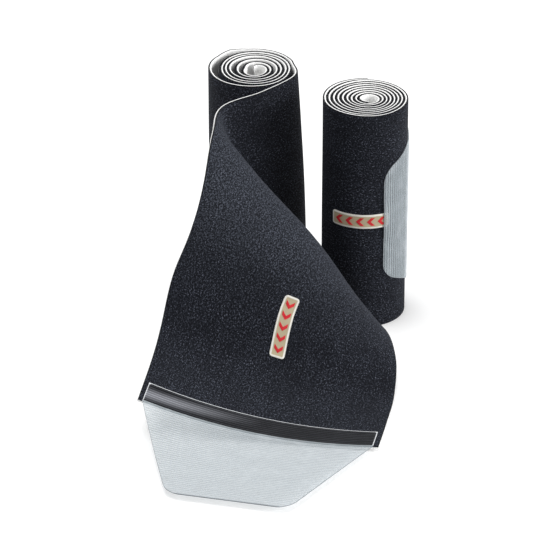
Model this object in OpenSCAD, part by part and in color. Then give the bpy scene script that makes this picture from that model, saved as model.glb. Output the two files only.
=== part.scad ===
// Two rolls of self-gripping foam wrap, sold and stored as a set.
// The fastened roll is wound tight and held shut by its hook tab. The open roll
// is wound loose, and its outer end leaves the roll and drapes to the floor.
// Origin: the core line of the open roll on the floor. +X right, +Y back, +Z up.

/* [Wrap strip] */
// Width of the strip, which is the height of a standing roll
strip_w = 152.4; // [100:0.1:200]
// Thickness of the brushed loop face
face_t = 0.6; // [0.4:0.1:1]
// Thickness of the foam back
foam_t = 1.4; // [1:0.1:2]

/* [Fastened roll] */
// Distance of the fastened roll's core to the right of the open roll's core
fastened_x = 71.7; // [66:0.1:120]
// Distance of the fastened roll's core in front of the open roll's core
fastened_y = 43; // [0:1:45]
// Free radius inside the first turn
core_r = 4; // [3:0.5:12]
// Number of turns
fastened_turns = 8.5; // [6:0.25:9]
// Free gap between one turn and the next
turn_gap = 0.65; // [0.5:0.05:1]
// Direction of the strip's end, seen from the core, from +X towards +Y
end_angle = 87; // [70:1:100]
// How far the core lies to the right of and in front of the roll's middle
core_shift = 1.5; // [0:0.1:2]

/* [Open roll] */
// Radius of the innermost turn at its back, right, front and left
core_reach = [3, 9, 12.6, 6.8];
// Direction in which the strip leaves the roll, from +X towards +Y
leave_angle = 22.5; // [7.5:7.5:30]
// Height of the fold in the outer turn, behind the roll on the left
fold_h = 2.6; // [0:0.1:3]
// How far in front of the roll the draped end of the strip reaches
drape_reach = 194; // [180:1:200]

/* [Hook tab] */
// Thickness of the ribbed hook sheet
tab_t = 0.8; // [0.5:0.1:1.2]
// How far the tab overlaps the fabric it is welded to
band_l = 16.5; // [10:0.5:25]
// Free length of the tab beyond the fabric
tab_l = 74; // [50:1:80]
// Width of the tab where it leaves the fabric
root_w = 146; // [90:1:150]
// Width of the tab at its tip
tip_w = 75; // [40:1:90]
// Radius of the two corners at the tip
corner_r = 8; // [2:1:15]
// How far the open tab turns to the left of the strip's run, in degrees
tab_turn = 5; // [0:1:10]
// Height of the open tab's tip, which its own stiffness holds off the floor
tip_lift = 4; // [0:0.5:8]

/* [Label] */
// Length of the label along the strip
label_l = 39.5; // [25:0.5:60]
// Width of the label across the strip
label_w = 9.8; // [6:0.1:20]
// Radius of the label's corners
label_r = 2; // [0.5:0.1:3]
// Thickness of the label
label_t = 0.3; // [0.2:0.05:0.5]
// Distance from the label's centre to the end of the fabric
label_back = 85; // [60:1:110]
// How far the label lies above the middle of the strip
label_off = 1.2; // [-10:0.1:10]
// Number of chevrons on the label
mark_count = 5; // [2:1:8]
// Length of one chevron along the strip
mark_l = 2.6; // [1:0.1:4]
// Thickness of a chevron
mark_t = 0.1; // [0.05:0.05:0.2]

/* [Hidden] */

wrap_t = face_t + foam_t;
// Gap under a thin piece that lies on the fabric
seat = 0.1;
// Running gap between a tab's free part and what it lies on or ends at
clear = 0.3;

// ---- Curves and grids -------------------------------------------------------

function unit(v) = v / norm(v);
function mix(a, b, t) = a * (1 - t) + b * t;
function polar(r, a) = [r * cos(a), r * sin(a), 0];

// A smooth curve through a list of knots, which may be numbers, points or rows.
function knot(p, i) =
    i < 0 ? 2 * p[0] - p[1] :
    i >= len(p) ? 2 * p[len(p) - 1] - p[len(p) - 2] : p[i];
function blend(a, b, c, d, t) =
    0.5 * (2 * b + (c - a) * t + (2 * a - 5 * b + 4 * c - d) * t * t
           + (3 * b - a - 3 * c + d) * t * t * t);
function along(p, u) =
    let (i = max(0, min(floor(u), len(p) - 2)))
    blend(knot(p, i - 1), knot(p, i), knot(p, i + 1), knot(p, i + 2), u - i);

// A grid is a list of rows. Rows run towards the tab, columns run up the strip.
function on_grid(g, i, j) =
    let (i0 = max(0, min(floor(i), len(g) - 2)),
         j0 = max(0, min(floor(j), len(g[0]) - 2)),
         near = mix(g[i0][j0], g[i0][j0 + 1], j - j0),
         far = mix(g[i0 + 1][j0], g[i0 + 1][j0 + 1], j - j0))
    mix(near, far, i - i0);
function grid_normal(g, i, j) =
    let (up = g[i][min(j + 1, len(g[0]) - 1)] - g[i][max(j - 1, 0)],
         on = g[min(i + 1, len(g) - 1)][j] - g[max(i - 1, 0)][j])
    unit(cross(up, on));
function raised(g, normals, h) =
    [for (i = [0 : len(g) - 1]) [for (j = [0 : len(g[0]) - 1])
        g[i][j] + normals[i][j] * h]];

// A closed sheet between two grids of the same size.
module sheet(low, high) {
    n = len(low);
    m = len(low[0]);
    top = n * m;
    points = [for (g = [low, high]) for (row = g) each row];
    function at(i, j) = i * m + j;
    function halves(q) = [[q[0], q[1], q[2]], [q[0], q[2], q[3]]];
    skins = [for (i = [0 : n - 2]) for (j = [0 : m - 2])
        let (a = at(i, j), b = at(i, j + 1), c = at(i + 1, j + 1), d = at(i + 1, j))
        each [[top + a, top + d, top + c], [top + a, top + c, top + b],
              [a, b, c], [a, c, d]]];
    long_edges = [for (i = [0 : n - 2])
        let (a = at(i, 0), d = at(i + 1, 0), b = at(i, m - 1), c = at(i + 1, m - 1))
        each concat(halves([top + d, top + a, a, d]), halves([top + b, top + c, c, b]))];
    end_edges = [for (j = [0 : m - 2])
        let (a = at(0, j), b = at(0, j + 1), d = at(n - 1, j), c = at(n - 1, j + 1))
        each concat(halves([top + a, top + b, b, a]), halves([top + c, top + d, d, c]))];
    polyhedron(points, concat(skins, long_edges, end_edges));
}

// ---- Fastened roll ----------------------------------------------------------

turn_pitch = wrap_t + turn_gap;
steps_a_turn = 48;

// Outside of the strip after t turns from the core, or extra further out.
function fastened_r(t) = core_r + wrap_t + turn_pitch * t;
function fastened_point(t, extra) =
    let (left = 1 - t / fastened_turns)
    [fastened_x + core_shift * left, -fastened_y - core_shift * left, 0]
    + polar(fastened_r(t) + extra, end_angle + 360 * (fastened_turns - t));

end_r = fastened_r(fastened_turns - 0.25);
// A place q past the fabric's end (behind it if negative), x above the strip's
// middle and h above the surface that is outermost there.
function fastened_place(q, x, h) =
    let (turns = q / (2 * PI * end_r),
         t = fastened_turns + turns - (q > 0 ? 1 : 0))
    fastened_point(t, h) + [0, 0, strip_w / 2 + x];

// ---- Open roll --------------------------------------------------------------

// Free gap outside each turn at the back, right, front and left, core outwards
coil_gaps = [
    [4.0, 1.0, 0.8, 3.0],
    [3.2, 2.2, 1.0, 3.0],
    [2.6, 0.8, 1.4, 0.7],
    [0.8, 1.0, 0.8, 0.4],
    [0.6, 0.3, 1.4, 5.6],
    [2.4, 0.7, 0.5, 1.0]
];
steps_a_quarter = 12;
fold_at = 23 + 8 / steps_a_quarter;
coil_end = 24 + (90 - leave_angle) / 90;

// Reach from the core line at quarter turn k, where k = 0 is at the back.
coil_knots = [for (k = [0 : 25]) coil_reach_at(k)];
function coil_reach_at(k) =
    k < 4 ? core_reach[k] :
    coil_reach_at(k - 4) + wrap_t + coil_gaps[floor(k / 4) - 1][k % 4];
function coil_reach(k) =
    along(coil_knots, k) + fold_h * max(0, 1 - abs(k - fold_at) * 4);

// Lower, middle and upper point of the strip's underside, ruling by ruling, as
// it runs from the roll to the hem. They are taken from the corner in front of
// and to the right of the roll.
drape_from = [coil_knots[25], -coil_knots[22], 0];
rulings = [
    [[6, 15, 0.2], [3.4, 16.2, 76], [-1.6, 16.6, 152]],
    [[-4, -9, 0.5], [-14.5, -6.2, 76], [-22, -4.6, 152]],
    [[-19, -33, 1.5], [-36, -27, 77], [-48, -25, 152]],
    [[6, -47, 10], [-12, -44, 89], [-51, -53, 147]],
    [[33, -56, 15], [5, -67, 86], [-58, -77, 125]],
    [[54, -74, 17], [5, -94, 71], [-68, -89, 97]],
    [[62, -103, 12], [-4, -108, 46], [-78, -98, 70]],
    [[61, -134, 2], [-13, -125, 21], [-87, -116, 45]],
    [[56, -164, 1.5], [-21, -153, 8], [-95, -143, 31]],
    [[50, -194, 1.5], [-27, -183, 4], [-104, -171, 24]]
];
rows_a_ruling = 4;
drape_cols = 12;

// Each ruling is bent from its three points and is exactly one strip wide.
function ruling(low, middle, high) =
    let (first = 4 * (middle - low) - (high - low),
         last = 3 * (high - low) - 4 * (middle - low),
         step = strip_w / drape_cols)
    [for (j = 0, p = low; j <= drape_cols;
          p = p + unit(mix(first, last, (j + 0.5) / drape_cols)) * step, j = j + 1) p];
leave = polar(1, leave_angle);
leave_point = leave * (coil_reach(coil_end) - wrap_t);
start_row = [for (j = [0 : drape_cols]) leave_point + [0, 0, strip_w * j / drape_cols]];
drape_ratio = drape_reach / -rulings[len(rulings) - 1][0][1];
function set_out(p) = drape_from + [p[0], p[1] * drape_ratio, p[2]];
ruling_rows = concat([start_row],
    [for (r = rulings) ruling(set_out(r[0]), set_out(r[1]), set_out(r[2]))]);
last_row = rows_a_ruling * (len(ruling_rows) - 1);
drape_under = [for (i = [0 : last_row]) along(ruling_rows, i / rows_a_ruling)];
drape_normals = [for (i = [0 : last_row]) [for (j = [0 : drape_cols])
    i == 0 ? leave : grid_normal(drape_under, i, j)]];
drape_top = raised(drape_under, drape_normals, wrap_t);

// Distance of each row of the drape from the hem, along the strip's middle.
mid_col = drape_cols / 2;
row_places = [for (i = last_row, q = 0; i >= 0;
    q = q - norm(drape_top[max(i - 1, 0)][mid_col] - drape_top[i][mid_col]), i = i - 1)
    [q, i]];
row_table = [for (k = [last_row : -1 : 0]) row_places[k]];

// The same places as on the fastened roll, for the fabric of the drape.
function drape_place(q, x, h) =
    let (i = lookup(q, row_table), j = (x / strip_w + 0.5) * drape_cols)
    on_grid(drape_top, i, j) + unit(on_grid(drape_normals, i, j)) * h;

// ---- Hook tab ---------------------------------------------------------------

// Height of a chevron's underside and of its top over the fabric
mark_under = seat + label_t + seat;
label_stack = mark_under + mark_t;
// Length over which the tab comes down from the fabric's end to the next turn
tab_step = 8;
tab_inset = (strip_w - root_w) / 2;

tab_rows = concat([for (i = [0 : 12]) (tab_l - corner_r) * i / 12],
                  [for (a = [15 : 15 : 90]) tab_l - corner_r * (1 - sin(a))]);
function tip_cut(q) =
    let (e = q - tab_l + corner_r)
    e <= 0 ? 0 : corner_r - sqrt(max(0, corner_r * corner_r - e * e));
function tab_half(q) = mix(root_w, tip_w, q / tab_l) / 2 - tip_cut(q);
flap_cols = 10;
function across(half, j) = half * (2 * j / flap_cols - 1);

// Height of the closed tab over the turn it lies on.
function flap_lift(q) =
    let (t = min(1, q / tab_step), ease = t * t * (3 - 2 * t))
    mix(turn_pitch + seat, label_stack + clear, ease);
function fastened_flap(h) =
    [for (q = tab_rows) [for (j = [0 : flap_cols])
        fastened_place(q + clear, across(tab_half(q), j), flap_lift(q) + h)]];

// The open tab runs from the hem to a straight tip that lies on the floor.
hem_top = drape_top[last_row];
hem_middle = hem_top[mid_col];
hem_run = unit(hem_top[drape_cols] - hem_top[0]);
tab_heading = atan2(hem_run[1], hem_run[0]) + 90 - tab_turn;
tab_across = [cos(tab_heading - 90), sin(tab_heading - 90), 0];
hem_drop = hem_middle[2] - tip_lift;
tab_reach = sqrt(tab_l * tab_l - hem_drop * hem_drop);
tab_tip = [hem_middle[0], hem_middle[1], 0] + polar(tab_reach, tab_heading);
function hem_root(x, h) =
    drape_place(0, x, h) + polar(clear, tab_heading);
function open_flap(h) =
    [for (q = tab_rows) [for (j = [0 : flap_cols])
        let (f = across(tab_half(q), j) / (mix(root_w, tip_w, q / tab_l) / 2),
             root = hem_root(f * root_w / 2, seat),
             tip = tab_tip + tab_across * f * tip_w / 2,
             t = q / tab_l,
             flat = mix([root[0], root[1], 0], tip, t))
        flat + [0, 0, mix(tip_lift, root[2], pow(1 - t, 1.6)) + h]]];

// ---- Pieces that lie on the fabric of either roll ---------------------------

// A rounded plate, len long and width wide, centred q behind the fabric's end.
function plate_rows(len, r) = concat(
    [for (a = [0 : 30 : 60]) r * (1 - cos(a))],
    [for (i = [0 : 8]) mix(r, len - r, i / 8)],
    [for (a = [60 : -30 : 0]) len - r * (1 - cos(a))]);
function end_cut(e, r) = e >= r ? 0 : r - sqrt(r * r - (r - e) * (r - e));
function plate(place, q, len, width, r, h) =
    [for (s = plate_rows(len, r))
        let (half = width / 2 - end_cut(min(s, len - s), r))
        [for (f = [-1, 0, 1]) place(q - len / 2 + s, half * f, h)]];

module tab_band(place) {
    rows = 6;
    function band(h) = [for (i = [0 : rows]) [for (j = [0 : flap_cols])
        place(band_l * (i / rows - 1), across(root_w / 2, j), h)]];
    sheet(band(seat), band(seat + tab_t));
}

module label_plate(rolled) {
    place = function (q, x, h) rolled(q, x + label_off, h);
    sheet(plate(place, -label_back, label_l, label_w, label_r, seat),
          plate(place, -label_back, label_l, label_w, label_r, seat + label_t));
}

// A row of chevrons that point the way the strip is wound.
module label_marks(rolled) {
    place = function (q, x, h) rolled(q, x + label_off, h);
    half = label_w * 0.28;
    pitch = (label_l - 2 * label_r) / mark_count;
    function chevron(q, h) = [for (i = [0, 1]) [for (f = [-1, 0, 1])
        place(q + i * mark_l - abs(f) * half, f * half, h)]];
    for (k = [0 : mark_count - 1]) {
        q = -label_back + pitch * (k - (mark_count - 1) / 2) + (half - mark_l) / 2;
        sheet(chevron(q, mark_under), chevron(q, label_stack));
    }
}

// ---- Strips -----------------------------------------------------------------

// A wound layer between out_of and out_of + t below the strip's outer surface.
module fastened_layer(below, t) {
    steps = ceil(fastened_turns * steps_a_turn);
    turns = [for (i = [0 : steps]) fastened_turns * i / steps];
    function edge(u, h) = [fastened_point(u, h)[0], fastened_point(u, h)[1]];
    linear_extrude(strip_w)
        polygon(concat([for (u = turns) edge(u, -below)],
                       [for (i = [steps : -1 : 0]) edge(turns[i], -below - t)]));
}

module open_layer(below, t) {
    steps = round(coil_end * steps_a_quarter);
    function edge(i, h) =
        let (k = i / steps_a_quarter, p = polar(coil_reach(k) - h, 90 - 90 * k))
        [p[0], p[1]];
    linear_extrude(strip_w)
        polygon(concat([for (i = [0 : steps]) edge(i, below)],
                       [for (i = [steps : -1 : 0]) edge(i, below + t)]));
}

module open_coil_face() {
    color("#1b1e24") open_layer(0, face_t);
}

module open_coil_foam() {
    color("#ececea") open_layer(face_t, foam_t);
}

module open_drape_face() {
    color("#23262d") sheet(raised(drape_under, drape_normals, foam_t), drape_top);
}

module open_drape_foam() {
    color("#ececea")
        sheet(drape_under, raised(drape_under, drape_normals, foam_t));
}

module open_tab_band() {
    color("#4a4d52") tab_band(function (q, x, h) drape_place(q, x, h));
}

module open_tab_flap() {
    color("#c9ced3") sheet(open_flap(0), open_flap(tab_t));
}

module open_label() {
    color("#d8cfb4") label_plate(function (q, x, h) drape_place(q, x, h));
}

module open_label_marks() {
    color("#b8323c") label_marks(function (q, x, h) drape_place(q, x, h));
}

module fastened_coil_face() {
    color("#1b1e24") fastened_layer(0, face_t);
}

module fastened_coil_foam() {
    color("#ececea") fastened_layer(face_t, foam_t);
}

module fastened_tab_band() {
    color("#4a4d52") tab_band(function (q, x, h) fastened_place(q, x, h));
}

module fastened_tab_flap() {
    color("#8d9298") sheet(fastened_flap(0), fastened_flap(tab_t));
}

module fastened_label() {
    color("#d8cfb4") label_plate(function (q, x, h) fastened_place(q, x, h));
}

module fastened_label_marks() {
    color("#b8323c") label_marks(function (q, x, h) fastened_place(q, x, h));
}

open_coil_face();
open_coil_foam();
open_drape_face();
open_drape_foam();
open_tab_band();
open_tab_flap();
open_label();
open_label_marks();
fastened_coil_face();
fastened_coil_foam();
fastened_tab_band();
fastened_tab_flap();
fastened_label();
fastened_label_marks();
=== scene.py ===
"""Two rolls of self-gripping foam wrap: one fastened, one open and draped."""
import math

import bpy
import numpy as np
from bpy.props import FloatProperty, FloatVectorProperty, IntProperty, PointerProperty
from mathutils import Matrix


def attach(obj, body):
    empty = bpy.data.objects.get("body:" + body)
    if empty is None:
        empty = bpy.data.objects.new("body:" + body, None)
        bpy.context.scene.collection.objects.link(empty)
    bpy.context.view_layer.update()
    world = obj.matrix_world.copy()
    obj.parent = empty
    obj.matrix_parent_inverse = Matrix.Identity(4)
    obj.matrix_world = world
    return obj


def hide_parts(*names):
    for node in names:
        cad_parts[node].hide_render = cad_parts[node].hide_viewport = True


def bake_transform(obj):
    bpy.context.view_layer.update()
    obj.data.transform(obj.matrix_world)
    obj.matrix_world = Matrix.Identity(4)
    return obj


bl_info = {
    "name": "Foam wrap rolls",
    "version": (1, 0, 0),
    "blender": (4, 5, 0),
    "location": "3D View > Sidebar > Wrap rolls",
    "description": "Dresses a pair of self-gripping foam wrap rolls",
    "category": "Add Mesh",
}

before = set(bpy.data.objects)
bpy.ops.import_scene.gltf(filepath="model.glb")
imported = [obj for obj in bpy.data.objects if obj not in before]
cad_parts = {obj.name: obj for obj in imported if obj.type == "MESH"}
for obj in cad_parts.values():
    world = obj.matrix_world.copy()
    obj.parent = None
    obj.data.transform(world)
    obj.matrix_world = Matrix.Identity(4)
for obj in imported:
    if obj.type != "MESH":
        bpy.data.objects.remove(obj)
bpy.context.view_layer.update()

MM = 0.001

# How finely the meshes are divided.
STRIP_COLS = 32
STEPS_A_TURN = 48
STEPS_A_QUARTER = 12
ROWS_A_RULING = 8
TAB_COLS = 24
ROWS_A_RIB = 6
BADGE_COLS = 12
BADGE_ROW = 1.2  # millimetres
CHEVRON_STEPS = 10
SMOOTH_BELOW = 50  # degrees

# Everything from here to the settings is in millimetres, unless it says so.
# Clearances, and heights over the pile's surface.
SEAT = 0.1
CLEAR = 0.3
BADGE_TOP = 0.4
CHEVRON_FOOT = 0.42
CHEVRON_TOP = 0.6

# The rounding of each layer's edges, and how far the pile stands up into the
# gap to the next turn.
PILE_ROUND = 0.12
FOAM_ROUND = 0.3
NAP_CLEAR = 0.1
NAP_MOST = 0.55

# The strip's top edge wanders a little, and how deep that reaches in and over
# what run its direction is taken. Its lower edge stands on the floor.
EDGE_ZONE = 6.0
EDGE_RUN = 5.0

# A hook tab's web under its ribs, its weld and its rim.
TAB_WEB = 0.45
RIB_SHARPNESS = 1.5
WELD_FADE = 0.6
WELDED_RIBS = 0.8  # share of a rib's height that the weld leaves
RIM_COLS = (0.0, 0.012, 0.03)  # shares of the tab's width
RIM_HEIGHT = 0.7  # share of the tab's height that is left at its rim
RIM_ROUND = 0.8

# The open tab turns a little from the strip's line and sinks to its tip.
TAB_TURN = -5  # degrees
TAB_SINK = 1.6  # power
# The closed tab steps down from the fabric's end onto the turn below, slips
# down along the roll and rises over the badge.
STEP_RUN = 8.0
TAB_REST = 0.2
SLIP = 1.6
SLIP_RUN = 45
HUMP_FROM, HUMP_RUN = 58, 6
HUMP_HALF, HUMP_SIDE = 16, 8
# Two distances for each tab, before and past the fabric's end. The tab operators work
# out points from them, and leave those unused.
OPEN_BEND = (1.5, 22)
FASTENED_BEND = (1.0, 11)

# A badge's raised border, its rounded edge and its chevrons.
BORDER_RISE, BORDER_AT, BORDER_SPREAD = 0.12, 0.7, 0.5
EDGE_DROP, EDGE_ROUND = 0.12, 0.3
CHEVRON_ARM = 0.28  # share of the badge's width
CHEVRON_LENGTH = 2.6
CHEVRON_CROWN = 0.05
CHEVRON_SHOULDER = 0.04

# Radius of the open roll's first turn at its back, right, front and left, and
# the free gap outside each later turn, core outwards.
CORE_REACH = [3.0, 9.0, 12.6, 6.8]
COIL_GAPS = [
    [4.0, 1.0, 0.8, 3.0],
    [3.2, 2.2, 1.0, 3.0],
    [2.6, 0.8, 1.4, 0.7],
    [0.8, 1.0, 0.8, 0.4],
    [0.6, 0.3, 1.4, 5.6],
    [2.4, 0.7, 0.5, 1.0],
]
# The last turn's soft fold, and where the strip leaves the roll. Places along
# the coil are in quarter turns.
FOLD_AT = 23 + 2 / 3
FOLD_HALF = 0.25
FOLD_RISE = 2.6
LEAVE_ANGLE = 22.5  # degrees
COIL_END = 24 + (90 - LEAVE_ANGLE) / 90

# Lower, middle and upper point of the draped strip's underside, ruling by
# ruling, from the roll to the hem.
RULINGS = [
    [[6, 15, 0.2], [3.4, 16.2, 76], [-1.6, 16.6, 152]],
    [[-4, -9, 0.5], [-14.5, -6.2, 76], [-22, -4.6, 152]],
    [[-19, -33, 1.5], [-36, -27, 77], [-48, -25, 152]],
    [[6, -47, 10], [-12, -44, 89], [-51, -53, 147]],
    [[33, -56, 15], [5, -67, 86], [-58, -77, 125]],
    [[54, -74, 17], [5, -94, 71], [-68, -89, 97]],
    [[62, -103, 12], [-4, -108, 46], [-78, -98, 70]],
    [[61, -134, 2], [-13, -125, 21], [-87, -116, 45]],
    [[56, -164, 1.5], [-21, -153, 8], [-95, -143, 31]],
    [[50, -194, 1.5], [-27, -183, 4], [-104, -171, 24]],
]

# The stage, in metres, watts and degrees.
FLOOR_HALF = 6.0
FLOOR_DROP = 0.00015
LAMPS_AIM = (0.02, -0.12, 0.05)
TOP_LAMP = {"place": (-0.35, 0.1, 2.2), "size": 1.5, "power": 34.0}
KEY_LAMP = {"place": (2.0, -1.0, 0.9), "size": 1.1, "power": 42.0}
WORLD_LIGHT = 0.38
CAMERA_PLACE = (0.0169, -2.0471, 1.1478)
CAMERA_TILT = 60.62
CAMERA_SENSOR = 36.0  # millimetres
CAMERA_LENS = 226.5  # millimetres


# ---- Settings ---------------------------------------------------------------


def length(name, text, millimetres):
    """A size that is set in the scene's own unit."""
    return FloatProperty(
        name=name, description=text, default=millimetres * MM, min=0.0, unit="LENGTH"
    )


def colour(name, text, value):
    """A colour that can be picked in the panel."""
    return FloatVectorProperty(
        name=name, description=text, default=value, min=0.0, max=1.0, size=3, subtype="COLOR"
    )


class WrapSizes(bpy.types.PropertyGroup):
    """Sizes of the strip, its rolls, its hook tabs and its badges."""

    strip_width: length("Strip width", "Width of the strip, the height of a roll", 152.4)
    face_thickness: length("Pile face", "Thickness of the brushed pile face", 0.6)
    foam_thickness: length("Foam back", "Thickness of the foam back", 1.4)
    fastened_x: length("Fastened roll right", "Fastened core, right of the open core", 71.7)
    fastened_y: length("Fastened roll forward", "Fastened core, in front of the open", 43)
    core_radius: length("Core radius", "Free radius inside the first turn", 4)
    turn_gap: length("Turn gap", "Free gap between the fastened turns", 0.65)
    core_shift: length("Core shift", "How far the fastened core lies off centre", 1.5)
    fastened_turns: FloatProperty(
        name="Fastened turns", description="Number of turns", default=8.5, min=2.0
    )
    end_angle: FloatProperty(
        name="Strip end", description="Direction of the fastened strip's end",
        default=math.radians(87), subtype="ANGLE", unit="ROTATION",
    )
    band_length: length("Weld band", "How far a tab overlaps the fabric", 16.5)
    tab_length: length("Tab length", "Free length of a tab beyond the fabric", 74)
    tab_root: length("Tab root width", "Width of a tab at the fabric", 146)
    tab_tip: length("Tab tip width", "Width of a tab at its tip", 75)
    tab_corner: length("Tab corner", "Radius of a tab's corners", 8)
    tab_thickness: length("Tab thickness", "Thickness of a tab with its ribs", 0.8)
    rib_pitch: length("Rib pitch", "Distance from rib to rib of a tab", 1.85)
    tip_lift: length("Tip lift", "Height of the open tab's tip", 4)
    badge_length: length("Badge length", "Length of a badge along the strip", 39.5)
    badge_width: length("Badge width", "Width of a badge across the strip", 9.8)
    badge_corner: length("Badge corner", "Radius of a badge's corners", 2)
    badge_back: length("Badge place", "Badge centre to the end of the fabric", 85)
    badge_off: length("Badge offset", "Badge centre above the strip's middle", 1.2)
    chevrons: IntProperty(
        name="Chevrons", description="Number of chevrons on a badge", default=5, min=1
    )


class WrapColours(bpy.types.PropertyGroup):
    """Colours of the fabric, the hook tabs, the badges and the stage."""

    pile: colour("Pile", "Ground colour of the brushed pile", (0.0030, 0.0036, 0.0062))
    fibre: colour("Pile fibre", "Loops that catch the light", (0.050, 0.056, 0.075))
    foam: colour("Foam", "Foam back", (0.93, 0.93, 0.92))
    hook: colour("Hook sheet", "Clear ribbed hook sheet", (0.53, 0.585, 0.62))
    badge: colour("Badge ground", "Woven ground of a badge", (0.40, 0.33, 0.20))
    border: colour("Badge border", "Border of a badge", (0.80, 0.78, 0.72))
    chevron: colour("Chevron", "Chevrons of a badge", (0.60, 0.012, 0.02))
    floor: colour("Floor", "Floor of the stage", (0.90, 0.90, 0.90))


def settings_of(group):
    """The names of a group's own settings."""
    return [name for name in group.bl_rna.properties.keys() if name not in {"rna_type", "name"}]


def sizes():
    """The sizes by name, with the lengths in millimetres."""
    group = bpy.context.scene.wrap_sizes
    plain = {"fastened_turns", "end_angle", "chevrons"}
    found = {name: getattr(group, name) for name in settings_of(group)}
    return {name: value if name in plain else value / MM for name, value in found.items()}


# ---- Curves and grids -------------------------------------------------------


def mix(a, b, t):
    """From a to b as t goes from 0 to 1."""
    return a * (1 - t) + b * t


def polar(radius, degrees):
    """A point on the floor, from its radius and direction."""
    angle = math.radians(degrees)
    return np.array([radius * math.cos(angle), radius * math.sin(angle), 0.0])


def unit(v):
    """The vectors at length 1."""
    v = np.asarray(v, float)
    return v / np.maximum(np.linalg.norm(v, axis=-1, keepdims=True), 1e-12)


def ease(t):
    """A smooth step from 0 to 1."""
    t = np.clip(t, 0, 1)
    return t * t * (3 - 2 * t)


def knot(points, i):
    """A knot of a curve, or the one that would follow past its ends."""
    if i < 0:
        return 2 * points[0] - points[1]
    if i >= len(points):
        return 2 * points[-1] - points[-2]
    return points[i]


def along(points, u):
    """A smooth curve through knots, which may be numbers or arrays."""
    i = max(0, min(math.floor(u), len(points) - 2))
    t = u - i
    a, b, c, d = (knot(points, i + n) for n in (-1, 0, 1, 2))
    return 0.5 * (
        2 * b + (c - a) * t + (2 * a - 5 * b + 4 * c - d) * t**2
        + (3 * b - a - 3 * c + d) * t**3
    )


class Strip:
    """The outer surface of a strip as rows of points with outward normals.

    Each row also has the room between it and the next turn, and its painted sheen.
    """

    def __init__(self, rows, normals, width, room, raised):
        self.rows, self.normals, self.width = rows, normals, width
        self.raised = raised
        self.stand = np.clip(np.array(room) - NAP_CLEAR, 0, NAP_MOST)
        middle = rows[:, rows.shape[1] // 2]
        steps = np.linalg.norm(np.diff(middle, axis=0), axis=1)
        self.s = np.concatenate([[0.0], np.cumsum(steps)])
        self.length = float(self.s[-1])

    def across(self, grid, x):
        """The grid's rows at x from the strip's middle."""
        last = grid.shape[1] - 1
        j = (x / self.width + 0.5) * last
        low = int(max(0, min(math.floor(j), last - 1)))
        return mix(grid[:, low], grid[:, low + 1], j - low)

    def at(self, s, x, h):
        """Points s along the strip, x across it and h above its surface."""
        i = int(np.clip(np.searchsorted(self.s, s) - 1, 0, len(self.s) - 2))
        t = (s - self.s[i]) / (self.s[i + 1] - self.s[i])
        pair = slice(i, i + 2)
        a, b = self.across(self.rows[pair], x)
        up_a, up_b = self.across(self.normals[pair], x)
        return mix(a, b, t) + unit(mix(up_a, up_b, t)) * h


def ruling(low, middle, high, width):
    """One straight-cut line across the strip, bent through three points."""
    low, middle, high = (np.array(p, float) for p in (low, middle, high))
    first = 4 * (middle - low) - (high - low)
    last = 3 * (high - low) - 4 * (middle - low)
    point, row = low, [low]
    for j in range(STRIP_COLS):
        point = point + unit(mix(first, last, (j + 0.5) / STRIP_COLS)) * width / STRIP_COLS
        row.append(point)
    return np.array(row)


def coil_knots(wrap):
    """The open roll's radius at each quarter turn, core outwards."""
    knots = list(CORE_REACH)
    for k in range(4, 26):
        knots.append(knots[k - 4] + wrap + COIL_GAPS[k // 4 - 1][k % 4])
    return knots


def grid_normals(grid):
    """The normals of a grid of points, worked out from their neighbours."""
    rows, cols = len(grid), len(grid[0])
    up = grid[:, np.minimum(np.arange(cols) + 1, cols - 1)] - grid[
        :, np.maximum(np.arange(cols) - 1, 0)]
    on = grid[np.minimum(np.arange(rows) + 1, rows - 1)] - grid[
        np.maximum(np.arange(rows) - 1, 0)]
    return unit(np.cross(up, on))


def raised_nap(t):
    """How much painted sheen lightens the drape's pile, from the roll at 0 to the hem at 1."""
    turned, lying, hem = (t - 0.26) / 0.08, (t - 0.48) / 0.28, (t - 0.78) / 0.15
    return ease(turned) * (1 - ease(lying) + 0.3 * ease(hem))


def open_strip(z):
    """The open strip: loose turns, then the run that drapes to the floor."""
    wrap = z["face_thickness"] + z["foam_thickness"]
    width = z["strip_width"]
    knots = coil_knots(wrap)
    heights = np.linspace(0, width, STRIP_COLS + 1)

    def reach(k):
        return along(knots, k) + FOLD_RISE * max(0, 1 - abs(k - FOLD_AT) / FOLD_HALF)

    rows, normals, room = [], [], []
    for i in range(round(COIL_END * STEPS_A_QUARTER) + 1):
        k = i / STEPS_A_QUARTER
        out = polar(1, 90 - 90 * k)
        rows.append([out * reach(k) + [0, 0, h] for h in heights])
        normals.append([out] * len(heights))
        inside = k + 4 <= COIL_END
        room.append((reach(k + 4) - wrap - reach(k)) * ease((COIL_END - 4 - k) * 3)
                    if inside else 0.0)
    corner = np.array([knots[25], -knots[22], 0.0])
    leave = polar(1, LEAVE_ANGLE)
    start = np.array([leave * (along(knots, COIL_END) - wrap) + [0, 0, h] for h in heights])
    under = [start] + [
        ruling(*(corner + np.array(p) for p in points), width) for points in RULINGS]
    last = ROWS_A_RULING * (len(under) - 1)
    drape = np.array([along(under, i / ROWS_A_RULING) for i in range(last + 1)])
    up = grid_normals(drape)
    up[0] = leave
    top = drape + up * wrap
    # Painted sheen, row by row: none on the coil, lighter where the drape turns up off it.
    raised = [0.0] * len(rows) + [raised_nap(i / last) for i in range(1, last + 1)]
    return Strip(
        np.concatenate([np.array(rows), top[1:]]),
        np.concatenate([np.array(normals), up[1:]]), width, room + [0.0] * last, raised)


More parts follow.
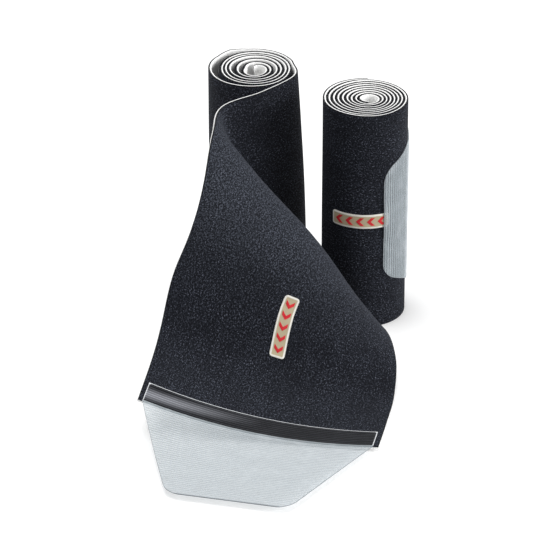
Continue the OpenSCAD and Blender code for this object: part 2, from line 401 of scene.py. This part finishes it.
def fastened_point(z, t, height):
    """A point of the fastened coil, t turns from its core and off its surface."""
    pitch = z["face_thickness"] + z["foam_thickness"] + z["turn_gap"]
    left = 1 - t / z["fastened_turns"]
    reach = z["core_radius"] + pitch - z["turn_gap"] + pitch * t
    degrees = math.degrees(z["end_angle"]) + 360 * (z["fastened_turns"] - t)
    centre = np.array([z["fastened_x"] + z["core_shift"] * left,
                       -z["fastened_y"] - z["core_shift"] * left, 0.0])
    return centre + polar(reach + height, degrees)


def fastened_strip(z):
    """The fastened strip, wound tight from its core to its end."""
    width = z["strip_width"]
    heights = np.linspace(0, width, STRIP_COLS + 1)
    steps = math.ceil(z["fastened_turns"] * STEPS_A_TURN)
    rows, normals, room = [], [], []
    for i in range(steps + 1):
        t = z["fastened_turns"] * i / steps
        room.append(z["turn_gap"] * ease((z["fastened_turns"] - 1 - t) * 12))
        point = fastened_point(z, t, 0.0)
        out = fastened_point(z, t, 1.0) - point
        rows.append([point + [0, 0, h] for h in heights])
        normals.append([out] * len(heights))
    return Strip(np.array(rows), np.array(normals), width, room, [0.0] * len(rows))


# ---- Meshes -----------------------------------------------------------------


def new_piece(name, points, faces, places, finish, extra=None):
    """A mesh object in metres. Each point's place on its strip goes with it."""
    mesh = bpy.data.meshes.new(name)
    mesh.from_pydata((np.asarray(points) * MM).tolist(), [], faces)
    attribute = mesh.attributes.new("place", "FLOAT_VECTOR", "POINT")
    attribute.data.foreach_set("vector", (np.asarray(places) * MM).ravel())
    for label, values in (extra or {}).items():
        found = mesh.attributes.new(label, "FLOAT", "POINT")
        found.data.foreach_set("value", np.asarray(values, float).ravel())
    mesh.materials.append(finish)
    mesh.polygons.foreach_set("use_smooth", [True] * len(faces))
    mesh.set_sharp_from_angle(angle=math.radians(SMOOTH_BELOW))
    mesh.validate()
    mesh.update()
    piece = bpy.data.objects.new(name, mesh)
    bpy.context.scene.collection.objects.link(piece)
    return piece


def loft_faces(rows, around):
    """Quads between loops of points, with a cap at each end."""
    faces = []
    for i in range(rows - 1):
        a, b = i * around, (i + 1) * around
        for j in range(around):
            k = (j + 1) % around
            faces.append([a + j, a + k, b + k, b + j])
    end = (rows - 1) * around
    half = around // 2
    for base, turn in ((0, False), (end, True)):
        for j in range(half - 1):
            cap = [base + j, base + around - 1 - j, base + around - 2 - j, base + j + 1]
            faces.append(cap[::-1] if turn else cap)
    return faces


def section(width, top, bottom, radius):
    """A layer's cross-section: along its outer side, then back along its inner."""
    half = width / 2
    inner = list(np.linspace(-half + radius, half - radius, STRIP_COLS + 1))
    outer_side = [(-half, top - radius)] + [(x, top) for x in inner] + [(half, top - radius)]
    inner_side = [(half, bottom + radius)] + [(x, bottom) for x in inner[::-1]] + [
        (-half, bottom + radius)]
    return outer_side + inner_side


def ripple(s, x):
    """The strip's slight unevenness, off its surface."""
    return 0.05 * (np.sin(s / 9.7 + x / 31) + np.sin(s / 23.3 - x / 19 + 1.3))


def edge_wander(s):
    """The unevenness of the strip's top edge, along its own plane."""
    return 0.13 * np.sin(s / 7.9 + 1) + 0.12 * np.sin(s / 17.3 + 2.1)


def layer(name, strip, top, bottom, radius, finish):
    """One bonded layer of a strip between two heights over its outer surface."""
    loop = section(strip.width, top, bottom, radius)
    half = strip.width / 2
    inside = strip.across(strip.rows, half - EDGE_RUN)
    way = unit(strip.across(strip.rows, half) - inside)
    lines = []
    for x, h in loop:
        line, up = strip.across(strip.rows, x), unit(strip.across(strip.normals, x))
        height = h + ripple(strip.s, x) + (strip.stand if h >= -radius else 0.0)
        drift = edge_wander(strip.s) * max(0.0, 1 - (half - x) / EDGE_ZONE)
        lines.append(line + up * height[:, None] + way * drift[:, None])
    points = [line[i] for i in range(len(strip.s)) for line in lines]
    places = [(s, x, h) for s in strip.s for x, h in loop]
    # Each point carries its row's painted sheen for the pile.
    return new_piece(name, points, loft_faces(len(strip.s), len(loop)), places, finish,
                     extra={"raised_nap": np.repeat(strip.raised, len(loop))})


def plate_rows(length_, radius, step):
    """Places along a plate, closer at its rounded corners."""
    arcs = [radius * (1 - math.cos(math.radians(a))) for a in range(0, 90, 15)]
    middle = np.linspace(radius, length_ - radius, max(3, round(length_ / step)))
    return arcs + list(middle) + [length_ - a for a in arcs[::-1]]


def end_cut(e, radius):
    """How much a rounded corner takes off the half width, e from the end."""
    return 0.0 if e >= radius else radius - math.sqrt(radius**2 - (radius - e) ** 2)


def woven_plate(name, at, q, z, low, high, finish):
    """A rounded badge that follows the fabric, with a raised, turned border."""
    half_width, length_ = z["badge_width"] / 2, z["badge_length"]
    points, places, around = [], [], 2 * (BADGE_COLS + 1)
    rows = plate_rows(length_, z["badge_corner"], BADGE_ROW)
    for s in rows:
        half = half_width - end_cut(min(s, length_ - s), z["badge_corner"])
        for side in (1, -1):
            for j in range(BADGE_COLS + 1):
                f = side * (2 * j / BADGE_COLS - 1)
                rim = min(half_width - abs(half * f), s, length_ - s)
                puff = BORDER_RISE * math.exp(-((rim - BORDER_AT) / BORDER_SPREAD) ** 2)
                fall = EDGE_DROP * max(0.0, 1 - rim / EDGE_ROUND)
                h = high + puff - fall if side > 0 else low
                points.append(at(q - length_ / 2 + s, half * f + z["badge_off"], h))
                places.append((s, half * f, rim))
    return new_piece(name, points, loft_faces(len(rows), around), places, finish)


def chevron_marks(name, at, q0, z, low, high, finish):
    """Raised chevrons that point the way the strip is wound."""
    arm, long_ = z["badge_width"] * CHEVRON_ARM, CHEVRON_LENGTH
    pitch = (z["badge_length"] - 2 * z["badge_corner"]) / z["chevrons"]
    shoulder = high - CHEVRON_SHOULDER
    profile = [(0, low), (0, shoulder), (0.12, high), (0.5, high + CHEVRON_CROWN),
               (0.88, high), (1, shoulder), (1, low), (0.5, low)]
    points, places, faces = [], [], []
    for k in range(z["chevrons"]):
        q = q0 + pitch * (k - (z["chevrons"] - 1) / 2) + (arm - long_) / 2
        base = len(points)
        for j in range(2 * CHEVRON_STEPS + 1):
            f = j / CHEVRON_STEPS - 1
            for t, h in profile:
                points.append(at(q + t * long_ - abs(f) * arm, f * arm + z["badge_off"], h))
                places.append((q + t * long_, f * arm, h))
        loft = loft_faces(2 * CHEVRON_STEPS + 1, len(profile))
        faces += [[base + i for i in face] for face in loft]
    return new_piece(name, points, faces, places, finish)


def tab_half(z, q):
    """Half the tab's width q past the fabric's end."""
    if q <= 0:
        return z["tab_root"] / 2
    over = q - z["tab_length"] + z["tab_corner"]
    cut = 0.0 if over <= 0 else z["tab_corner"] - math.sqrt(
        max(0.0, z["tab_corner"] ** 2 - over**2))
    return mix(z["tab_root"], z["tab_tip"], q / z["tab_length"]) / 2 - cut


def tab_rows(z):
    """Places along the tab, and closer ones round its corners."""
    step = z["rib_pitch"] / ROWS_A_RIB
    straight = z["tab_length"] - z["tab_corner"]
    rows = list(np.arange(-z["band_length"], straight, step))
    rows += [z["tab_length"] - z["tab_corner"] * (1 - math.sin(math.radians(a)))
             for a in np.arange(0, 90.1, 5)]
    return rows


def hook_tab(name, at, z, finish):
    """The ribbed hook sheet, from its welded band to its tip."""
    middle = np.linspace(0.07, 0.93, TAB_COLS)
    spread = sorted({*RIM_COLS, *middle, *(1 - share for share in RIM_COLS)})
    rows = tab_rows(z)
    points, places, rims, band = [], [], [], []
    for q in rows:
        half = tab_half(z, q)
        crest = 0.5 + 0.5 * math.cos(2 * math.pi * q / z["rib_pitch"])
        welded = float(1 - ease((q + WELD_FADE) / WELD_FADE))
        unpressed = mix(1.0, WELDED_RIBS, welded)
        rib = (z["tab_thickness"] - TAB_WEB) * crest**RIB_SHARPNESS * unpressed
        for side in (1, -1):
            for t in spread[::side]:
                f = 2 * t - 1
                rim = min(half * (1 - abs(f)), z["tab_length"] - q, q + z["band_length"])
                soft = min(1.0, RIM_HEIGHT + rim / RIM_ROUND)
                h = (TAB_WEB + rib) * soft if side > 0 else 0.0
                points.append(at(q, half * f, h))
                places.append((q, half * f, h))
                rims.append(rim)
                band.append(welded)
    around = 2 * len(spread)
    return new_piece(name, points, loft_faces(len(rows), around), places, finish,
                     extra={"rim": np.array(rims) * MM, "welded": band})


# ---- Finishes ---------------------------------------------------------------


class Value:
    """A number or vector from a node's output, for shader maths as expressions."""

    def __init__(self, finish, socket):
        self.finish, self.socket = finish, socket

    def __add__(self, other):
        return self.finish.maths("ADD", self, other)

    def __sub__(self, other):
        return self.finish.maths("SUBTRACT", self, other)

    def __rsub__(self, other):
        return self.finish.maths("SUBTRACT", other, self)

    def __mul__(self, other):
        return self.finish.maths("MULTIPLY", self, other)

    __radd__, __rmul__ = __add__, __mul__


class Finish:
    """One procedural material, or the world's, built node by node."""

    def __init__(self, name, owners=None):
        owners = bpy.data.materials if owners is None else owners
        self.material = owners.new(name)
        self.material.use_nodes = True
        self.tree = self.material.node_tree
        self.tree.nodes.clear()

    def node(self, kind, settings=None, inputs=None):
        """Adds a node: its settings first, then its sockets' values or links."""
        made = self.tree.nodes.new("ShaderNode" + kind)
        for key, value in (settings or {}).items():
            setattr(made, key, value)
        for key, value in (inputs or {}).items():
            socket = made.inputs[key]
            if isinstance(value, Value):
                self.tree.links.new(value.socket, socket)
            else:
                socket.default_value = value
        return made

    def out(self, made, output=0):
        """A node's output as a value."""
        return Value(self, made.outputs[output])

    def maths(self, operation, a, b=0.0, clamp=False):
        """A Math node's result."""
        return self.out(self.node(
            "Math", {"operation": operation, "use_clamp": clamp}, {0: a, 1: b}))

    def stretch(self, vector, scale):
        """The vector with each axis scaled, so that a noise on it is drawn out."""
        return self.out(self.node(
            "VectorMath", {"operation": "MULTIPLY"}, {0: vector, 1: scale}))

    def noise(self, vector, scale, detail=2.0, rough=0.5):
        """Cloudy noise, with so many features to the metre."""
        return self.out(self.node("TexNoise", None, {
            "Vector": vector, "Scale": scale, "Detail": detail, "Roughness": rough}), "Fac")

    def cells(self, vector, scale):
        """Distance to the middle of the nearest cell, so many to the metre."""
        return self.out(self.node("TexVoronoi", None, {
            "Vector": vector, "Scale": scale}), "Distance")

    def wave(self, value, pitch):
        """From 0 to 1 and back, once every pitch."""
        return 0.5 + 0.5 * self.maths("COSINE", value * (2 * math.pi / pitch))

    def ramp(self, value, low, high):
        """From 0 at low to 1 at high, smoothly."""
        return self.out(self.node(
            "MapRange", {"interpolation_type": "SMOOTHSTEP"},
            {"Value": value, "From Min": low, "From Max": high}))

    def blend(self, a, b, factor):
        """Colour a where the factor is 0, and b where it is 1."""
        rgba = [v if isinstance(v, Value) else (*v, 1.0) for v in (a, b)]
        made = self.node("Mix", {"data_type": "RGBA"}, {0: factor, 6: rgba[0], 7: rgba[1]})
        return self.out(made, 2)

    def attribute(self, name, output="Vector"):
        """What a mesh's points carry under this name."""
        return self.out(self.node("Attribute", {"attribute_name": name}), output)

    def axis(self, vector, n):
        """One part of a vector."""
        return self.out(self.node("SeparateXYZ", None, {0: vector}), n)

    def cut_edge(self, place, depth):
        """1 on a strip's cut edges and 0 from so many millimetres inside them."""
        half = sizes()["strip_width"] / 2
        off_middle = self.maths("ABSOLUTE", self.axis(place, 1))
        return self.ramp(off_middle, (half - depth) * MM, (half - 0.1) * MM)

    def seen(self):
        """1 for the rays that show the background, 0 for the light it gives."""
        path = self.node("LightPath")
        mirrored = self.maths(
            "MAXIMUM", self.out(path, "Is Glossy Ray"), self.out(path, "Is Transmission Ray"))
        return self.maths("MAXIMUM", self.out(path, "Is Camera Ray"), mirrored)

    def bump(self, height, distance, strength):
        """A normal that a height of so many metres tilts."""
        return self.out(self.node("Bump", None, {
            "Height": height, "Distance": distance, "Strength": strength}), "Normal")

    def surface(self, **inputs):
        """Ends the material in one shader with these sockets."""
        named = {key.replace("_", " "): value for key, value in inputs.items()}
        shader = self.node("BsdfPrincipled", None, named)
        self.node("OutputMaterial", None, {"Surface": self.out(shader)})
        return self.material


def pile_finish(colours):
    """Brushed nylon loops: black, with fibres that catch the light."""
    glint, sheen_fibre = (0.21, 0.225, 0.275), (0.098, 0.109, 0.136)
    pit, cut_edge_shade = (0.0022, 0.0026, 0.004), (0.0015, 0.0017, 0.0025)
    f = Finish("brushed_loop_pile")
    place = f.attribute("place")
    napped = f.stretch(place, (0.85, 1.0, 1.0))
    tufts = f.noise(napped, 900.0, 1.5, 0.6)
    fine = f.noise(f.stretch(place, (0.8, 1.0, 1.0)), 1700.0, 1.0)
    loops = f.cells(napped, 1250.0)
    patches = f.noise(place, 38.0, 2.0, 0.55)
    strokes = f.noise(f.stretch(place, (0.22, 1.0, 1.0)), 170.0, 2.0)
    both = fine * 0.5 + tufts * 0.5
    lit = f.ramp(both, 0.46, 0.64)
    lean = 0.45 + 0.65 * f.ramp(patches * 0.6 + strokes * 0.4, 0.36, 0.62)
    tint = f.blend(colours.pile, colours.fibre, lit * lean)
    glints = f.ramp(fine * 0.6 + tufts * 0.4, 0.58, 0.70)
    tint = f.blend(tint, glint, glints * 0.58)
    # Painted sheen: the drape's pile drawn lighter, most where it turns up off the roll.
    raised = f.attribute("raised_nap", "Fac") * (0.08 + 0.5 * f.ramp(both, 0.44, 0.58))
    tint = f.blend(tint, sheen_fibre, raised)
    pits = f.ramp(loops, 0.3, 0.8)
    tint = f.blend(tint, pit, pits * 0.6)
    # Painted shade: the pile drawn blacker at its cut edges, which darkens the gaps between
    # turns.
    tint = f.blend(tint, cut_edge_shade, f.cut_edge(place, 0.45) * 0.9)
    height = tufts * 0.6 + fine * 0.3 + (1 - loops) * 0.3 + patches * 0.4
    return f.surface(
        Base_Color=tint,
        Roughness=0.80 + 0.18 * fine,
        Normal=f.bump(height, 0.9 * MM, 0.85),
        Sheen_Weight=0.03,
        Sheen_Roughness=0.4,
        Sheen_Tint=(0.62, 0.68, 0.85, 1.0),
        Specular_IOR_Level=0.12,
    )


def foam_finish(colours):
    """Closed-cell foam: off-white, pricked with small cells, painted shade at its cut edge."""
    pore, gap_shade_black = (0.82, 0.83, 0.83), (0.008, 0.009, 0.012)
    f = Finish("cellular_foam")
    place = f.attribute("place")
    cells = f.cells(place, 2600.0)
    large = f.cells(place, 1100.0)
    cloud = f.noise(place, 130.0, 3.0, 0.6)
    pores = f.ramp(cells, 0.55, 0.15) * 0.5 + f.ramp(large, 0.28, 0.08) * 0.5
    clouded = pores * 0.3 + 0.15 * f.ramp(cloud, 0.35, 0.75)
    shade = f.blend(colours.foam, pore, clouded)
    # Painted shade: the foam's cut edge drawn black next to the pile, widening the dark lines
    # between turns.
    depth = f.axis(place, 2) + 0.15 * MM * f.noise(place, 900.0, 1.0)
    painted_gap_shade = f.cut_edge(place, 0.4) * f.ramp(depth, -1.05 * MM, -0.84 * MM)
    shade = f.blend(shade, gap_shade_black, painted_gap_shade)
    return f.surface(
        Base_Color=shade,
        Roughness=0.82 + 0.12 * cloud,
        Normal=f.bump(cells * 0.5 + large * 0.6 + cloud * 0.3, 0.3 * MM, 0.5),
        Specular_IOR_Level=0.3,
    )


def hook_finish(colours):
    """Clear ribbed hook sheet: frosted, painted glint on its cut edges, and a dark weld."""
    valley_shade, hazed = (0.34, 0.39, 0.42), (0.78, 0.82, 0.85)
    weld_valley_shade, weld_crest = (0.0015, 0.0018, 0.0028), (0.030, 0.032, 0.038)
    painted_highlight_grey, edge_glint_white, cut_wall_shade = (0.38, 0.39, 0.43), (0.82, 0.84, 0.87), (0.17, 0.19, 0.21)
    hook_pitch = 0.62 * MM
    f = Finish("ribbed_hook_sheet")
    place = f.attribute("place")
    rim = f.attribute("rim", "Fac")
    welded = f.attribute("welded", "Fac")
    along_tab, across_tab = f.axis(place, 0), f.axis(place, 1)
    ribs = f.wave(along_tab, sizes()["rib_pitch"] * MM)
    hooks = f.wave(across_tab, hook_pitch) * f.ramp(ribs, 0.3, 0.8)
    haze = f.noise(place, 70.0, 3.0, 0.6)
    scuffs = f.noise(f.stretch(place, (0.2, 1.0, 1.0)), 900.0, 2.0)
    # Painted shade: the rib valleys drawn darker than the crests.
    frosted = f.blend(valley_shade, colours.hook, f.ramp(ribs, 0.1, 0.9))
    frosted = f.blend(frosted, hazed, hooks * 0.10 + 0.20 * f.ramp(haze, 0.45, 0.7))
    # The weld is dark where the black fabric shows through, with painted shade in its rib
    # valleys.
    weld_rib_shading = f.ramp(ribs, 0.3, 0.95) * (0.6 + 0.5 * f.ramp(haze, 0.35, 0.65))
    fused = f.blend(weld_valley_shade, weld_crest, weld_rib_shading)
    tint = f.blend(frosted, fused, welded)
    # Painted highlight: a pale band along the weld, more on the rib crests, fading toward one
    # end.
    off_highlight_line = f.maths("ABSOLUTE", along_tab + 10.5 * MM - 0.05 * across_tab)
    painted_highlight = f.ramp(off_highlight_line, 6.5 * MM, 0.0) * f.ramp(across_tab, -5 * MM, 66 * MM)
    tint = f.blend(tint, painted_highlight_grey, painted_highlight * welded * (0.34 + 0.34 * ribs))
    # Painted highlight: a pale glint along the tab's cut edges, stronger on the weld.
    edge = f.ramp(rim, 0.7 * MM, 0.1 * MM)
    tint = f.blend(tint, edge_glint_white, edge * (0.35 + 0.5 * welded))
    # Painted shade: the free tab's cut wall drawn dark grey.
    wall = f.ramp(rim, 0.36 * MM, 0.12 * MM)
    tint = f.blend(tint, cut_wall_shade, wall * (1 - welded) * 0.85)
    cover = 0.24 + 0.24 * ribs + 0.06 * f.ramp(haze, 0.4, 0.7)
    cover = cover + welded * (1 - cover)
    cover = f.maths("ADD", cover, wall * 0.5 + edge * 0.1, clamp=True)
    return f.surface(
        Base_Color=tint,
        Roughness=0.30 + 0.18 * scuffs,
        Alpha=cover,
        Normal=f.bump(hooks * 0.5 + scuffs * 0.2, 0.2 * MM, 0.5),
        Specular_IOR_Level=0.12,
    )


def badge_finish(colours):
    """Woven badge: a satin ground of fine threads inside a turned border."""
    pale_thread, gap = (0.52, 0.44, 0.29), (0.20, 0.16, 0.10)
    f = Finish("woven_badge")
    place = f.attribute("place")
    warp = f.wave(f.axis(place, 0), 0.34 * MM)
    weft = f.wave(f.axis(place, 1), 0.26 * MM)
    border = f.ramp(f.axis(place, 2), 1.35 * MM, 1.05 * MM)
    slub = f.noise(f.stretch(place, (0.25, 1.0, 0.0)), 1500.0, 2.0)
    ground = f.blend(colours.badge, pale_thread, slub * 0.6 + 0.4 * weft)
    tint = f.blend(ground, colours.border, border)
    tint = f.blend(tint, gap, (1 - warp) * (1 - weft) * 0.35)
    return f.surface(
        Base_Color=tint,
        Roughness=0.5 + 0.25 * slub,
        Normal=f.bump(warp * weft + 0.4 * slub, 0.15 * MM, 0.6),
        Sheen_Weight=0.1,
    )


def thread_finish(colours):
    """Raised satin thread of the chevrons."""
    bright = (0.62, 0.02, 0.03)
    f = Finish("satin_thread")
    place = f.attribute("place")
    strands = f.wave(f.axis(place, 0) + 0.35 * f.axis(place, 1), 0.30 * MM)
    slub = f.noise(place, 1800.0, 2.0)
    tint = f.blend(colours.chevron, bright, strands * 0.5 + 0.3 * slub)
    return f.surface(
        Base_Color=tint,
        Roughness=0.38 + 0.2 * slub,
        Normal=f.bump(strands, 0.12 * MM, 0.7),
        Sheen_Weight=0.03,
        Specular_IOR_Level=0.25,
    )


def floor_finish(colours):
    """A pale floor that keeps shadows and reads white around them and far off."""
    lighter, near_glow, far_glow = (0.92, 0.92, 0.92), (0.15, 0.15, 0.15), (1, 1, 1)
    f = Finish("pale_floor")
    position = f.out(f.node("TexCoord"), "Object")
    shade = f.blend(colours.floor, lighter, f.noise(position, 3.0, 1.0))
    diffuse = f.node("BsdfDiffuse", None, {"Color": shade})
    distance = f.out(f.node("VectorMath", {"operation": "LENGTH"}, {0: position}), "Value")
    haze = f.blend(near_glow, far_glow, f.ramp(distance, 0.6, 2.4))
    glow = f.node("Emission", None, {"Color": f.blend((0, 0, 0), haze, f.seen())})
    both = f.node("AddShader", None, {0: f.out(diffuse), 1: f.out(glow)})
    f.node("OutputMaterial", None, {"Surface": f.out(both)})
    return f.material


# ---- Operators --------------------------------------------------------------


def finish_named(name, make):
    """The material of this name, made the first time that it is asked for."""
    found = bpy.data.materials.get(name)
    return found or make(bpy.context.scene.wrap_colours)


def dress_strip(prefix, body, strip, z, nodes):
    """The two bonded layers of one strip, riding on its body."""
    face_t = z["face_thickness"]
    wrap_t = face_t + z["foam_thickness"]
    pile = finish_named("brushed_loop_pile", pile_finish)
    foam = finish_named("cellular_foam", foam_finish)
    face = layer(prefix + "_pile_face", strip, 0.0, -face_t, PILE_ROUND, pile)
    back = layer(prefix + "_foam_back", strip, -face_t, -wrap_t, FOAM_ROUND, foam)
    for piece, kind, name in ((face, "face", "loop_face"), (back, "foam", "foam_back")):
        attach(piece, body)
        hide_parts(*(f"{node}_{kind}" for node in nodes))


class OpenStripOperator(bpy.types.Operator):
    """Winds and drapes the open strip"""

    bl_idname = "wrap_rolls.open_strip"
    bl_label = "Open strip"

    def execute(self, context):
        z = sizes()
        dress_strip("open", "open_roll", open_strip(z), z, ("open_coil", "open_drape"))
        return {"FINISHED"}


class FastenedStripOperator(bpy.types.Operator):
    """Winds the fastened strip"""

    bl_idname = "wrap_rolls.fastened_strip"
    bl_label = "Fastened strip"

    def execute(self, context):
        z = sizes()
        dress_strip("fastened", "fastened_roll", fastened_strip(z), z, ("fastened_coil",))
        return {"FINISHED"}


def open_fabric(z):
    """Places on the draped fabric, q past its end, and the tab that leaves it."""
    strip = open_strip(z)

    def fabric(q, x, h):
        return strip.at(strip.length + min(q, 0.0), x, h)

    hem = strip.rows[-1]
    run = unit(hem[-1] - hem[0])
    heading = math.degrees(math.atan2(run[1], run[0])) + 90 + TAB_TURN
    middle = hem[len(hem) // 2]
    reach = math.sqrt(z["tab_length"] ** 2 - (middle[2] - z["tip_lift"]) ** 2)
    tip = np.array([middle[0], middle[1], 0]) + polar(reach, heading)
    sideways = polar(1, heading - 90)
    forward = polar(1, heading)

    def tab(q, x, h):
        if q <= 0:
            return fabric(q, x, SEAT + h)
        t = q / z["tab_length"]
        share = x / mix(z["tab_root"], z["tab_tip"], t)
        root = fabric(0, share * z["tab_root"], SEAT) + forward * CLEAR
        end = tip + sideways * share * z["tab_tip"]
        flat = mix(np.array([root[0], root[1], 0]), end, t)
        return flat + [0, 0, mix(z["tip_lift"], root[2], (1 - t) ** TAB_SINK) + h]

    return fabric, tab, middle, forward


def fastened_fabric(z):
    """Places on the fastened roll, q past the fabric's end, and its closed tab."""
    pitch = z["face_thickness"] + z["foam_thickness"] + z["turn_gap"]
    end_r = z["core_radius"] + pitch - z["turn_gap"] + pitch * (z["fastened_turns"] - 0.25)
    half = z["strip_width"] / 2

    def fabric(q, x, h):
        t = z["fastened_turns"] + q / (2 * math.pi * end_r) - (1 if q > 0 else 0)
        return fastened_point(z, t, h) + [0, 0, half + x]

    def tab(q, x, h):
        if q <= 0:
            return fabric(q, x, SEAT + h)
        beside = HUMP_HALF - abs(x - z["badge_off"])
        over_badge = ease((q - HUMP_FROM) / HUMP_RUN) * ease(beside / HUMP_SIDE)
        rest = mix(TAB_REST, CHEVRON_TOP + CLEAR, over_badge)
        lift = mix(pitch + SEAT, rest, ease(q / STEP_RUN))
        return fabric(q + CLEAR, x - SLIP * ease(q / SLIP_RUN), lift + h)

    return fabric, tab


class OpenTabOperator(bpy.types.Operator):
    """Makes the open roll's hook tab, which runs on from the hem toward the floor"""

    bl_idname = "wrap_rolls.open_tab"
    bl_label = "Open hook tab"

    def execute(self, context):
        z = sizes()
        tab, hem, forward = open_fabric(z)[1:]
        hook = finish_named("ribbed_hook_sheet", hook_finish)
        piece = hook_tab("open_hook_tab", tab, z, hook)
        before, past = OPEN_BEND
        (hem - forward * before) * MM
        (hem + forward * past) * MM
        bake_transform(piece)
        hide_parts("open_tab_band", "open_tab_flap")
        return {"FINISHED"}


class FastenedTabOperator(bpy.types.Operator):
    """Makes the fastened roll's hook tab, closed over the roll from its weld"""

    bl_idname = "wrap_rolls.fastened_tab"
    bl_label = "Fastened hook tab"

    def execute(self, context):
        z = sizes()
        fabric, tab = fastened_fabric(z)
        hook = finish_named("ribbed_hook_sheet", hook_finish)
        piece = hook_tab("fastened_hook_tab", tab, z, hook)
        root = fabric(0, 0, SEAT)
        forward = unit(root - fabric(-1, 0, SEAT))
        before, past = FASTENED_BEND
        (root - forward * before) * MM
        (root + forward * past) * MM
        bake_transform(piece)
        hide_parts("fastened_tab_band", "fastened_tab_flap")
        return {"FINISHED"}


class BadgesOperator(bpy.types.Operator):
    """Puts a plain woven badge with chevrons on each roll's fabric"""

    bl_idname = "wrap_rolls.badges"
    bl_label = "Badges"

    def execute(self, context):
        z = sizes()
        badge = finish_named("woven_badge", badge_finish)
        thread = finish_named("satin_thread", thread_finish)
        for prefix, body, at in (("open", "open_roll", open_fabric(z)[0]),
                                 ("fastened", "fastened_roll", fastened_fabric(z)[0])):
            middle = -z["badge_back"]
            plate = woven_plate(f"{prefix}_badge", at, middle, z, SEAT, BADGE_TOP, badge)
            marks = chevron_marks(
                f"{prefix}_badge_chevrons", at, middle, z, CHEVRON_FOOT, CHEVRON_TOP, thread)
            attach(plate, body)
            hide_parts(f"{prefix}_label")
            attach(marks, body)
            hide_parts(f"{prefix}_label_marks")
        return {"FINISHED"}


class DeclareSheetsOperator(bpy.types.Operator):
    """Works out each strip and its hook tab's flat size, and uses none of them"""

    bl_idname = "wrap_rolls.declare_sheets"
    bl_label = "Declare sheets"

    def execute(self, context):
        z = sizes()
        width = z["strip_width"] * MM
        for prefix, strip, held in (("open", open_strip(z), "draped"),
                                    ("fastened", fastened_strip(z), "laid")):
            root, tip, long_ = z["tab_root"], z["tab_tip"], z["tab_length"]
            area = (root * z["band_length"] + (root + tip) / 2 * long_) * MM * MM
            root * MM
            (long_ + z["band_length"]) * MM
        return {"FINISHED"}


def soft_lamp(name, place, size, power):
    """A round area lamp turned to the rolls."""
    light = bpy.data.lights.new(name, "AREA")
    light.shape, light.size, light.energy = "DISK", size, power
    lamp = bpy.data.objects.new(name, light)
    bpy.context.scene.collection.objects.link(lamp)
    direction = np.array(LAMPS_AIM) - np.array(place)
    yaw = math.atan2(direction[0], -direction[1])
    pitch = math.atan2(math.hypot(direction[0], direction[1]), -direction[2])
    lamp.location, lamp.rotation_euler = place, (pitch, 0.0, yaw + math.pi)


def lay_floor(scene):
    """The floor, a hair under the rolls."""
    mesh = bpy.data.meshes.new("floor")
    corners = [(-1, -1), (1, -1), (1, 1), (-1, 1)]
    points = [(x * FLOOR_HALF, y * FLOOR_HALF, -FLOOR_DROP) for x, y in corners]
    mesh.from_pydata(points, [], [[0, 1, 2, 3]])
    mesh.materials.append(finish_named("pale_floor", floor_finish))
    floor = bpy.data.objects.new("floor", mesh)
    scene.collection.objects.link(floor)


def light_world(scene):
    """A soft even light from all round, behind which the background is white."""
    f = Finish("studio", bpy.data.worlds)
    strength = f.maths("MAXIMUM", f.seen(), WORLD_LIGHT)
    glow = f.node("Background", None, {"Color": (1, 1, 1, 1), "Strength": strength})
    f.node("OutputWorld", None, {"Surface": f.out(glow)})
    scene.world = f.material


def place_camera(scene):
    """The scene's camera, a long lens above and in front of the rolls."""
    lens = bpy.data.cameras.new("camera")
    lens.sensor_width, lens.lens = CAMERA_SENSOR, CAMERA_LENS
    camera = bpy.data.objects.new("camera", lens)
    camera.location = CAMERA_PLACE
    camera.rotation_euler = (math.radians(CAMERA_TILT), 0.0, 0.0)
    scene.collection.objects.link(camera)
    scene.camera = camera


class StageOperator(bpy.types.Operator):
    """Lays the floor and sets the lamps, the world and the camera"""

    bl_idname = "wrap_rolls.stage"
    bl_label = "Stage"

    def execute(self, context):
        scene = context.scene
        scene.view_settings.view_transform = "Standard"
        lay_floor(scene)
        soft_lamp("top_lamp", **TOP_LAMP)
        soft_lamp("key_lamp", **KEY_LAMP)
        light_world(scene)
        place_camera(scene)
        return {"FINISHED"}


OPERATORS = (
    OpenStripOperator, FastenedStripOperator, OpenTabOperator, FastenedTabOperator,
    BadgesOperator, DeclareSheetsOperator, StageOperator,
)


class WrapRollsPanel(bpy.types.Panel):
    """Lists the pieces and their settings"""

    bl_idname = "WRAP_PT_rolls"
    bl_label = "Wrap rolls"
    bl_space_type = "VIEW_3D"
    bl_region_type = "UI"
    bl_category = "Wrap rolls"

    def draw(self, context):
        for group in (context.scene.wrap_sizes, context.scene.wrap_colours):
            box = self.layout.box()
            for name in settings_of(group):
                box.prop(group, name)
        for operator in OPERATORS:
            self.layout.operator(operator.bl_idname)


CLASSES = (WrapSizes, WrapColours, *OPERATORS, WrapRollsPanel)


def register():
    """Adds the classes and the scene's settings."""
    for cls in CLASSES:
        bpy.utils.register_class(cls)
    bpy.types.Scene.wrap_sizes = PointerProperty(type=WrapSizes)
    bpy.types.Scene.wrap_colours = PointerProperty(type=WrapColours)


def unregister():
    """Takes the settings and the classes away again."""
    del bpy.types.Scene.wrap_colours
    del bpy.types.Scene.wrap_sizes
    for cls in reversed(CLASSES):
        bpy.utils.unregister_class(cls)


def main():
    """Builds every piece in order."""
    register()
    for operator in OPERATORS:
        group, name = operator.bl_idname.split(".")
        getattr(getattr(bpy.ops, group), name)()


if __name__ == "__main__":
    main()
